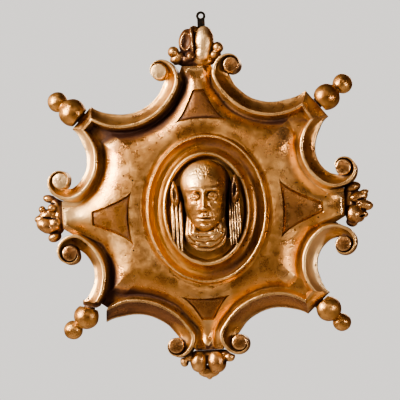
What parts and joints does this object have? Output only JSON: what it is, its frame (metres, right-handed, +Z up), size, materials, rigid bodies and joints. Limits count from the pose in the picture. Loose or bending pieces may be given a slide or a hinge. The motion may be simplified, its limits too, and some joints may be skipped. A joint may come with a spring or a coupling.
{
  "type": "carved wall frieze",
  "caption": "Star-shaped carved and gilded wood wall relief with scrolled edges, turned ball finials, leaf tips and a mask in an oval frame, hung by an iron strap.",
  "frame": {"origin": "middle of the flat back, where it lies on the wall", "axes": "+Z up the wall, +X to the viewer's right, -Y out of the wall towards the viewer"},
  "size_m": [0.5089, 0.095, 0.5533],
  "materials": {
    "panel": "worn burnished gilding over red-brown ground on carved wood",
    "head": "worn burnished gilding on carved wood",
    "leaf_top": "worn gilding on carved wood",
    "leaf_right": "worn gilding on carved wood",
    "leaf_bottom": "worn gilding on carved wood",
    "leaf_left": "worn gilding on carved wood",
    "finial_upper_left": "worn gilding on turned wood",
    "finial_upper_right": "worn gilding on turned wood",
    "finial_lower_right": "worn gilding on turned wood",
    "finial_lower_left": "worn gilding on turned wood",
    "hanger": "dark forged iron"
  },
  "bodies": {
    "root": {"panel": "panel", "head": "head", "leaf_top": "leaf_top", "leaf_right": "leaf_right", "leaf_bottom": "leaf_bottom", "leaf_left": "leaf_left", "finial_upper_left": "finial_upper_left", "finial_upper_right": "finial_upper_right", "finial_lower_right": "finial_lower_right", "finial_lower_left": "finial_lower_left", "hanger": "hanger"}
  },
  "joints": []
}
